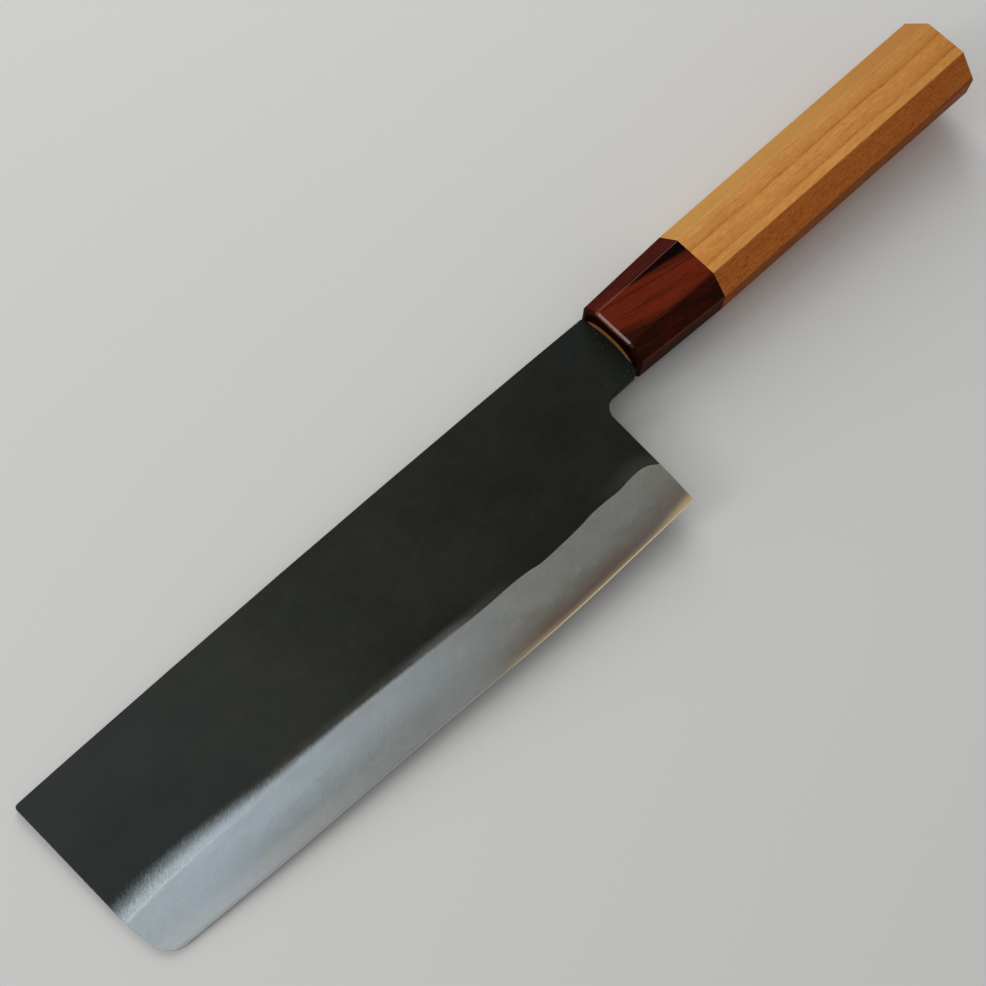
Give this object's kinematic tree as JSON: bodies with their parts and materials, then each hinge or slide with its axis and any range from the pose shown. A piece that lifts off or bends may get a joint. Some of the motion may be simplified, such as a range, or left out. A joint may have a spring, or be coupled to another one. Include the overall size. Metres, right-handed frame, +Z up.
{
  "type": "nakiri knife",
  "caption": "Vegetable knife with a broad flat forged blade, dark forge-scaled faces over satin ground bevels, and a tapered octagonal wooden handle with a dark ferrule.",
  "frame": {"origin": "on the table, below the middle of the knife's box, with the knife lying on its side", "axes": "+X along the knife towards the butt of the handle, +Y towards the spine, +Z up from the table, through the knife's thickness"},
  "size_m": [0.3088, 0.0564, 0.0234],
  "materials": {
    "core_steel": "hard core steel, honed to a fine satin at the edge",
    "cladding_front": "soft iron, matte dark forge scale on the flat and a satin ground bevel",
    "cladding_back": "soft iron, matte dark forge scale on the flat and a satin ground bevel",
    "ferrule": "polished dark red-brown hardwood",
    "handle_body": "smooth oiled light hardwood with fine long grain"
  },
  "bodies": {
    "root": {"core_steel": "core_steel", "cladding_front": "cladding_front", "cladding_back": "cladding_back", "ferrule": "ferrule", "handle_body": "handle_body"}
  },
  "joints": []
}
